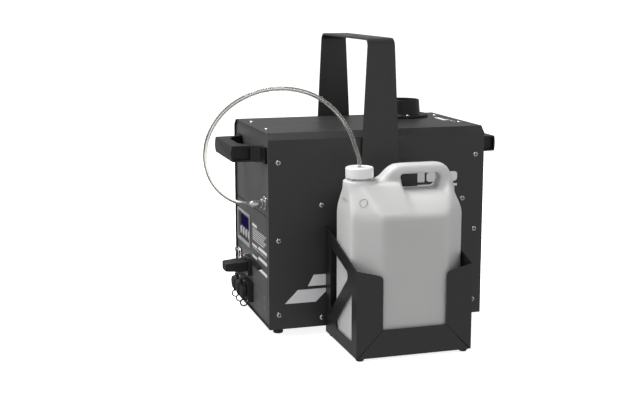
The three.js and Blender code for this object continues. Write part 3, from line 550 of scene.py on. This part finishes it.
# ---------------------------------------------------------------- screws
def screw_parts(centre, normal, radius, height):
    """A pan head on a face, the cross-shaped bar that cuts its recess, and a dark cross set low in the recess
    as painted shade.
    """
    profile = [(0, -0.3), (radius, -0.3), (radius, height * 0.35), (radius * 0.82, height * 0.8),
               (radius * 0.5, height), (0, height)]
    head = lathe(rounded_profile(profile, radius * 0.22), centre, normal, 40)
    turn = axes_of(normal)
    arm, width = radius * 0.64, radius * 0.19
    cross = [(arm, -width), (arm, width), (width, width), (width, arm), (-width, arm), (-width, width),
             (-arm, width), (-arm, -width), (-width, -width), (-width, -arm), (width, -arm), (width, -width)]
    spin = math.radians(17 * (round(centre[0] + 3 * centre[1] + centre[2]) % 5))
    cos, sin = math.cos(spin), math.sin(spin)
    turned = [(u * cos - v * sin, u * sin + v * cos) for u, v in cross]
    # The smaller cross, low in the recess, is painted shade: a dark piece where the recess would be in shadow.
    painted_shade_cross = [(u * 0.97, v * 0.97) for u, v in turned]
    bars = []
    for outline, low, high in ((turned, height * 0.1, height + 1), (painted_shade_cross, height * 0.05, height * 0.45)):
        points, faces = slab(outline, "z", low, high)
        bars.append(([Vector(centre) + turn @ Vector(p) for p in points], faces))
    return head, *bars


def screw_set(name, spots, material, shade, slot):
    """A group of screws: their heads as one piece, and the dark crosses in their recesses, which are painted
    shade, as another.
    """
    heads, bars, shade_crosses = zip(*[screw_parts(*spot) for spot in spots])
    body = carve(loose(name + "_heads", *merge(*heads)), loose(name + "_bars", *merge(*bars)))
    mesh = body.data.copy()
    bpy.data.objects.remove(body)
    finish_piece(name, mesh, material, "cabinet", 32)
    # The recess crosses are painted shade, in the dark recess material.
    make_piece(name + "_recess_shade", *merge(*shade_crosses), shade, "cabinet", slot, 32)


def make_screws(materials):
    """Screws of the cover's two walls and roof, of the collar, and of the inlet and sockets."""
    walls = ((-201.5, 325), (-201.5, 175), (-201.5, 29), (-116, 240), (-115, 17.5),
             (202.5, 325), (202.5, 175), (202.5, 29), (176, 238))
    roof = ((-203, 60), (-203, -65), (203, 69), (203, -60))
    spots = []
    for x, z in walls:
        spots.append(((x, -HALF_W, z), (0, -1, 0), SCREW_R, SCREW_RISE))
        spots.append(((x, HALF_W, z), (0, 1, 0), SCREW_R, SCREW_RISE))
    for x, y in roof:
        spots.append(((x, y, CASE_H), (0, 0, 1), SCREW_R, SCREW_RISE))
    screw_set("cover_screws", spots, materials["nickel"], materials["recess"], "nickel")
    circle = 48
    spots = []
    for angle in (-97, 23, 143):
        x = COLLAR_X + circle * math.cos(math.radians(angle))
        y = COLLAR_Y + circle * math.sin(math.radians(angle))
        spots.append(((x, y, CASE_H + GAP + COLLAR_PLATE), (0, 0, 1), 4.2, 2.2))
    screw_set("collar_screws", spots, materials["nickel"], materials["recess"], "nickel")
    inlet_face, socket_face = PANEL_X - 9.3, PANEL_X - 12.3
    spots = [((inlet_face, y, z), (-1, 0, 0), 2.6, 1.2) for y, z in ((43, 106), (20, 73))]
    for y in SOCKET_Y:
        for side in (-1, 1):
            spots.append(((socket_face, y + side * 15, SOCKET_Z + side * 17), (-1, 0, 0), 2.2, 1.1))
    screw_set("panel_screws", spots, materials["zinc"], materials["recess"], "steel")


# ---------------------------------------------------------------- fluid can
def smooth_max(a, b, blend):
    """The larger of two fields, with the crease between them rounded over a width."""
    near = np.maximum(blend - np.abs(a - b), 0) / blend
    return np.maximum(a, b) + near * near * blend / 4


def smooth_min(a, b, blend):
    return -smooth_max(-a, -b, blend)


def outline_distance(u, v, outline):
    """Signed distance to a flat outline, negative inside."""
    best = np.full(np.broadcast(u, v).shape, 1e9)
    inside = np.zeros(best.shape, bool)
    for (au, av), (bu, bv) in zip(outline, outline[1:] + outline[:1]):
        eu, ev = bu - au, bv - av
        t = np.clip(((u - au) * eu + (v - av) * ev) / (eu * eu + ev * ev), 0, 1)
        best = np.minimum(best, np.hypot(u - au - eu * t, v - av - ev * t))
        if ev:
            inside ^= ((av > v) != (bv > v)) & (u < au + eu * (v - av) / ev)
    return np.where(inside, -best, best)


def flat_side(x, depth, z, normal, spot):
    n = Vector(normal).normalized()
    return (x - spot[0]) * n.x + (depth - spot[1]) * n.y + (z - spot[2]) * n.z


def can_shell(x, depth, z):
    """The blow-moulded body: walls that turn into sloping shoulders, a flat top and a rounded foot."""
    hx, hy, cx, cy = CAN_HALF_X, CAN_HALF_Y, CAN_CUT_X, CAN_CUT_Y
    rise = CAN_TOP - CAN_BREAK
    corner = hy - cy
    facets = (
        ((-hx, 0), (-1, 0, 0), (-rise, 0, 5), 1),
        ((hx, 0), (1, 0, 0), (rise, 0, 14), 1),
        ((0, hy), (0, 1, 0), (0, rise, hy - 31), FOLD_BLEND),
        ((-hx, corner), (-cy, cx, 0), (-0.61, 0.66, 0.43), FOLD_BLEND),
        ((hx, corner), (cy, cx, 0), (0.58, 0.63, 0.51), FOLD_BLEND),
    )
    shell = z - CAN_TOP
    for (u, v), wall, slope, blend in facets:
        spot = (u, v, CAN_BREAK)
        facet = smooth_max(flat_side(x, depth, z, wall, spot), flat_side(x, depth, z, slope, spot), blend)
        shell = smooth_max(shell, facet, EDGE_BLEND)
    return smooth_max(shell, CAN_BASE - z, FOOT_BLEND)


def can_field(x, y, z):
    """The whole can, negative inside: shell, scooped saddle, arched grip, neck and parting line."""
    depth = np.abs(y - CAN_Y)
    shell = can_shell(x - CAN_X, depth, z)
    saddle = (z - SADDLE_Z + SADDLE_CURVE * depth ** 2) / np.sqrt(1 + (2 * SADDLE_CURVE * depth) ** 2)
    scoop = smooth_max(-saddle, np.maximum(SADDLE_X[0] - x, x - SADDLE_X[1]), SADDLE_BLEND)
    shell = smooth_max(shell, -scoop, 9)
    arch = smooth_max(outline_distance(x, z, ARCH) - ARCH_ROUND, depth - GRIP_HALF, 10)
    arch = smooth_max(arch, GRIP_ROUND - outline_distance(x, z, GRIP_HOLE), 7)
    shell = smooth_min(shell, arch, 10)
    spread = np.hypot(x - CAP_X, y - CAN_Y)
    for radius, top, blend in NECK_RINGS:
        ring = smooth_max(smooth_max(spread - radius, z - top, 1.5), NECK_FOOT - z, 1)
        shell = smooth_min(shell, ring, blend)
    return shell - SEAM_RISE * np.exp(-((y - CAN_Y) / SEAM_HALF) ** 2)


def isosurface(field, low, high, step):
    """A closed mesh of quads on the field's zero level, one point to a cell, pulled onto the surface."""
    axes = [np.arange(a, b + step, step) for a, b in zip(low, high)]
    level = field(*np.meshgrid(*axes, indexing="ij"))
    inside = level < 0
    cells = [n - 1 for n in level.shape]
    count = np.zeros(cells)
    sums = np.zeros([3] + cells)
    for corner, axis in itertools.product(itertools.product((0, 1), repeat=3), range(3)):
        if corner[axis]:
            continue
        ahead = [1 if k == axis else c for k, c in enumerate(corner)]
        here, there = [level[tuple(slice(c, c + n) for c, n in zip(spot, cells))] for spot in (corner, ahead)]
        crosses = (here < 0) != (there < 0)
        part_way = np.where(crosses, here / np.where(crosses, here - there, 1), 0)
        count += crosses
        for k in range(3):
            sums[k] += crosses * (part_way if k == axis else corner[k])
    used = count > 0
    number = np.full(cells, -1)
    number[used] = np.arange(used.sum())
    points = np.array(low) + (np.argwhere(used) + (sums[:, used] / count[used]).T) * step
    faces = []
    for axis in range(3):
        spots = np.argwhere(inside != np.roll(inside, -1, axis))
        ring = []
        for du, dv in ((-1, -1), (0, -1), (0, 0), (-1, 0)):
            cell = spots.copy()
            cell[:, (axis + 1) % 3] += du
            cell[:, (axis + 2) % 3] += dv
            ring.append(number[tuple(cell.T)])
        faces += np.stack(ring, 1).tolist()
    return pulled_onto(field, points).tolist(), faces


def pulled_onto(field, points, rounds=3, reach=0.1):
    """Moves points along the field's slope to its zero level."""
    for _ in range(rounds):
        value = field(*points.T)
        slope = np.zeros_like(points)
        for k in range(3):
            nudge = np.zeros(3)
            nudge[k] = reach
            slope[:, k] = (field(*(points + nudge).T) - field(*(points - nudge).T)) / (2 * reach)
        points -= (value / np.maximum((slope ** 2).sum(1), 0.05))[:, None] * slope
    return points


def loose(name, points, faces):
    """An object in metres that isn't a piece yet."""
    mesh = bpy.data.meshes.new(name)
    mesh.from_pydata([at(p) for p in points], [], faces)
    face_outward(mesh)
    thing = bpy.data.objects.new(name, mesh)
    scene.collection.objects.link(thing)
    return thing


def carve(base, tool):
    """Takes the tool's shape out of the base."""
    modifier = base.modifiers.new("carve", "BOOLEAN")
    modifier.operation = "DIFFERENCE"
    modifier.solver = "EXACT"
    modifier.object = tool
    apply_modifiers(base)
    bpy.data.objects.remove(tool)
    return base


def torus(centre, normal, radius, tube, steps=48, sides=10):
    turn = axes_of(normal)
    points, faces = [], []
    for k in range(steps):
        angle = 2 * math.pi * k / steps
        for n in range(sides):
            round_tube = 2 * math.pi * n / sides
            reach = radius + tube * math.cos(round_tube)
            spot = Vector((reach * math.cos(angle), reach * math.sin(angle), tube * math.sin(round_tube)))
            points.append(Vector(centre) + turn @ spot)
            a, b = k * sides, (k + 1) % steps * sides
            m = (n + 1) % sides
            faces.append([a + n, b + n, b + m, a + m])
    return points, faces


def make_can(materials):
    """The can with four stop lugs round its neck and a raised ring on its shoulder. A row of grid cells is
    centred on the middle plane, so that the thin parting line is caught."""
    spare, top, half_rows = 4, 333, 40.5
    low = (CAN_X - CAN_HALF_X - spare, CAN_Y - half_rows * CAN_STEP, CAN_BASE - spare)
    high = (CAN_X + CAN_HALF_X + spare, CAN_Y + CAN_HALF_Y + spare, top)
    shell = isosurface(can_field, low, high, CAN_STEP)
    reach, half_x, half_y = 24, 3.4, 2.2
    lugs = []
    for angle in (-50, 40, 130, 220):
        turn = Vector((math.cos(math.radians(angle)), math.sin(math.radians(angle))))
        x, y = Vector((CAP_X, CAN_Y)) + turn * reach
        lugs.append(slab(rect(x - half_x, x + half_x, y - half_y, y + half_y, 1), "z", 302.5, 306.6))
    mark = torus(MARK_SPOT, MARK_FACING, 7.5, 0.55)
    make_piece("can_look", *merge(shell, mark, *lugs), materials["can"], "can", "can_plastic", 50,
               ["jerrycan"])


def make_cap(materials):
    """A hollow cap with a dished top and a hole for the hose."""
    top, bore, wall, roof = CAP_Z1, 4.2, 2.4, 2.5
    profile = [(bore, top - roof), (bore, top - 0.6), (14, top - 0.6), (16, top), (CAP_R - 2.2, top),
               (CAP_R - 0.7, top - 0.8), (CAP_R, top - 2.8), (CAP_R, CAP_Z0 + 0.8), (CAP_R - 0.8, CAP_Z0),
               (CAP_R - wall, CAP_Z0), (CAP_R - wall, top - roof), (bore, top - roof)]
    points, faces = lathe(rounded_profile(profile, 0.8), (CAP_X, CAN_Y, 0), (0, 0, 1), 96)
    make_piece("cap_look", points, faces, materials["cap"], "cap", "cap_plastic", 60, ["can_cap"])


# ---------------------------------------------------------------- outlet collar and fitting
def make_collar(materials):
    """A flanged ring whose wall narrows a little towards its rim."""
    z, bore, flange = CASE_H + GAP, 32.5, 54.5
    plate, rim = z + COLLAR_PLATE, COLLAR_TOP
    profile = [(bore, z), (flange, z), (flange, plate - 1.1), (flange - 1.1, plate), (39.6, plate),
               (38.2, plate + 1.5), (35.6, rim - 0.6), (35, rim), (33.7, rim), (33, rim - 1), (32.6, z + 8),
               (bore, z)]
    base = lathe(rounded_profile(profile, 0.6), (COLLAR_X, COLLAR_Y, 0), (0, 0, 1), 96)
    make_piece("collar_look", *base, materials["moulded"], "cabinet", "collar_plastic", 50, ["outlet_collar"])


def make_fitting(materials):
    """The flanged fitting in the panel with its two screws, and the barrel that the hose pushes into."""
    x = -PANEL_X + GAP
    flange, plate = 14, 2.3
    profile = [(0, x - 17), (6.6, x - 17), (6.6, x), (flange, x), (flange, x + 1.8),
               (flange - 0.6, x + plate), (7, x + plate), (7, x + 4.2), (9.6, x + 4.4), (9.9, x + 5),
               (9.9, x + 8.2), (9.4, x + 8.9), (0, x + 8.9)]
    base = lathe(rounded_profile(profile, 0.4), (0, FIT_Y, FIT_Z), (-1, 0, 0), 64)
    dots = []
    for side in (-1, 1):
        dots.append(screw_parts((-x - plate, FIT_Y, FIT_Z + side * 11.3), (-1, 0, 0), 2.0, 1.2)[0])
    make_piece("fitting_look", *merge(base, *dots), materials["nickel"], "cabinet", "nickel", 40,
               ["bulkhead_fitting"])
    start, end = 226.9, -COUPLER_END
    outline = [(0, start), (6.6, start), (7.3, start + 0.7), (7.3, end - 3.7), (6.4, end - 2.7),
               (5.8, end - 2.5), (5.6, end - 0.7), (4.9, end), (0, end)]
    barrel = lathe(rounded_profile(outline, 0.3), (0, FIT_Y, FIT_Z), (-1, 0, 0), 64)
    make_piece("coupler_look", *barrel, materials["nickel"], "cabinet", "nickel", 40, ["hose_coupler"])


# ---------------------------------------------------------------- display and socket caps
def make_display_screen(materials):
    """The dark screen, over the mask's pocket."""
    x = PANEL_X + 1
    glass = slab(rect(33.5, 113, 159, 180.5, 0.6), "x", x, x + 1.5)
    node = "display_screen"
    make_piece(node + "_look", *glass, materials["screen"], "cabinet", slot_of_node(node), 30, [node])


def make_socket_caps(materials):
    """Thick rubber caps: a hinge strap on top, a stopper behind, and a pull ring standing out below."""
    back, face = 229.2, 239.8
    profile = [(0, back - 3), (8, back - 3), (8, back), (12.2, back), (13.6, back + 1.2), (13.8, back + 3),
               (13.8, face - 3.4), (13, face - 1), (11.4, face), (5, face), (4, face - 0.8), (0, face - 0.8)]
    for k, y in enumerate(SOCKET_Y, 1):
        disc = lathe(rounded_profile(profile, 0.8), (0, y, SOCKET_Z + 0.7), (-1, 0, 0), 48)
        strap = slab(rect(y - 7.5, y + 7.5, SOCKET_Z + 8, SOCKET_Z + 18, 1.5), "x", -back - 3.6, -back)
        ring = torus((-233, y, 12.8), (0.25, 1, 0), 6.9, 1.5)
        tab = slab(rect(-237, -231, 18, 27, 1.5), "y", y - 2, y + 2)
        node = f"socket_cap_{k}"
        make_piece(node + "_look", *merge(disc, strap, ring, tab), materials["rubber"], body_of_node(node),
                   slot_of_node(node), 40, [node])


# ---------------------------------------------------------------- print on the panels, and painted shade in the panel seams
def print_patch(outlines, axis, level, outward, thick=0.06):
    """Thin raised ink, and dark ink that paints shade along seams: prisms of the outlines that stand on a
    face.
    """
    low, high = sorted((level + outward * 0.02, level + outward * (0.02 + thick)))
    return merge(*[slab(outline, axis, low, high) for outline in outlines])


def make_print(materials):
    """Plain bars and blocks of ink: the legend, frames and a dark band of the rear end, with thin dark strips
    along the control panel's seams that are painted shade; a slanted pair and a row of blocks on the basket
    side, and two bars on the roof."""
    rows = [rect(-30, 8.5, 177, 182.6, 0.8)]
    for k in range(6):
        z = 172.6 - k * 4.4
        rows.append(rect(-104 + 9 * (k % 3), 6, z - 0.8, z + 0.8))
    rows.append(rect(-103, 6, 132.5, 133.4))
    for z in (138.2, 115.2):
        rows.append(rect(-29, 9.5, z - 2.4, z + 2.4, 0.8))
    for low in (137.5, 117.6, 95.2):
        rows.append([(-110, low), (-36, low), (-46, low + 6.6), (-110, low + 6.6)])
    make_piece("panel_print", *print_patch(rows, "x", PANEL_X, -1), materials["print"], "cabinet",
               "panel_paint", 30)
    faint = [rect(-57, -5, 51, 51.6), rect(-57, -5, 25, 25.5),
             rect(-5.6, -5, 25.5, 51), rect(-57, -56.5, 25.5, 51)]
    make_piece("panel_frame", *print_patch(faint, "x", PANEL_X, -1), materials["print_grey"], "cabinet",
               "panel_paint", 30)
    marks = [torus((PANEL_X - 0.1, -87, z), (-1, 0, 0), 4.6, 0.45) for z in (48.5, 28.5)]
    make_piece("panel_marks", *merge(*marks), materials["print_grey"], "cabinet", "panel_paint", 40)
    # The first outline is a dark printed band. The two thin strips along the control panel's top and near
    # edges are painted shade, dark where the seams fall in shadow.
    dark = [[(11, 93), (-36, 93), (-84, 109), (11, 109)], rect(-112.6, 139, 215.2, 216.1),
            rect(-113.4, -112.6, 2, 216.1)]
    make_piece("panel_print_and_seam_shade", *print_patch(dark, "x", PANEL_X, -1), materials["ink_and_seam_shade"], "cabinet",
               "panel_paint", 30)
    side = [[(-190, 50), (-128, 50), (-100, 76), (-164, 76)],
            [(-144, 82), (-88, 82), (-74, 104), (-132, 104)]]
    side += [rect(80, 95, 274, 293, 2), rect(99, 119, 274, 293, 6), rect(123, 139, 274, 293, 2),
             rect(143, 164, 274, 293, 6), rect(80, 164, 264, 269)]
    marks = print_patch(side, "y", -HALF_W, -1)
    make_piece("side_print", *marks, materials["print"], "cabinet", "cover_paint", 30)
    label = print_patch([rect(184, 194, -24, 28, 1), rect(196.5, 198.5, -50, -10)], "z", CASE_H, 1, 0.12)
    make_piece("roof_label", *label, materials["print"], "cabinet", "cover_paint", 30)


# ---------------------------------------------------------------- carried-over nodes
# Redrawn with rounded edges: the width of the rounding in millimetres, and the material.
SOFTENED = {
    "cabinet_cover": (0.55, "cover"),
    "rear_panel": (0.35, "panel"),
    "control_panel": (0.35, "panel"),
    "front_panel": (0.3, "panel"),
    "rear_handle": (1.6, "moulded"),
    "front_handle": (1.6, "moulded"),
    "yoke": (0.6, "yoke"),
    "pivot_bolt_near": (0.3, "zinc"),
    "pivot_knob_far": (1.2, "moulded"),
    "holder_back": (0.45, "basket"),
    "holder_left_side": (0.45, "basket"),
    "holder_right_side": (0.45, "basket"),
    "holder_base": (0.45, "basket"),
    "display_bezel": (0.5, "bezel"),
    "display_board": (0.25, "mask"),
    "switch_housing": (0.4, "socket"),
    "power_rocker": (0.5, "red"),
    "switch_boot": (0.8, "clear"),
    "power_inlet": (0.8, "socket"),
    "power_plug": (1.4, "moulded"),
}
# Shown in their CAD shape, with a new material.
KEPT = {
    "base_plate": "cover",
    "pivot_washer_near": "moulded",
    "pivot_washer_far": "moulded",
    "pickup_tube": "tube",
    "pickup_filter": "brass",
    "intake_tube": "tube",
    "outlet_nozzle": "brass",
    "heat_exchanger": "aluminium",
    "heat_insulation": "wool",
    "heater_stand": "zinc",
    "fluid_pump": "zinc",
    "main_board": "board",
    "power_supply": "aluminium",
    "fan_housing": "moulded",
    "fan_rotor": "moulded",
}


def dress_frame(materials):
    for node, (width, look) in SOFTENED.items():
        soften(node, width, materials[look], 3 if width > 0.7 else 2)
    for k in range(1, 5):
        soften(f"menu_button_{k}", 0.6, materials["button"], 3)
        soften(f"cabinet_foot_{k}", 0.8, materials["rubber"])
        soften(f"holder_foot_{k}", 0.6, materials["rubber"])
    for k in range(1, 4):
        soften(f"socket_{k}", 0.9, materials["socket"], 3)
    for node, look in KEPT.items():
        thing = frame["nodes"][node]
        for slot in thing.material_slots:
            slot.material = materials[look]


def main():
    make_camera()
    materials = make_materials()
    make_hose(materials)
    make_world()
    make_lights()
    make_floor()
    make_backdrop()
    dress_frame(materials)
    make_can(materials)
    make_cap(materials)
    make_collar(materials)
    make_fitting(materials)
    make_display_screen(materials)
    make_socket_caps(materials)
    make_screws(materials)
    make_print(materials)
    scene.view_settings.view_transform = "Standard"


main()
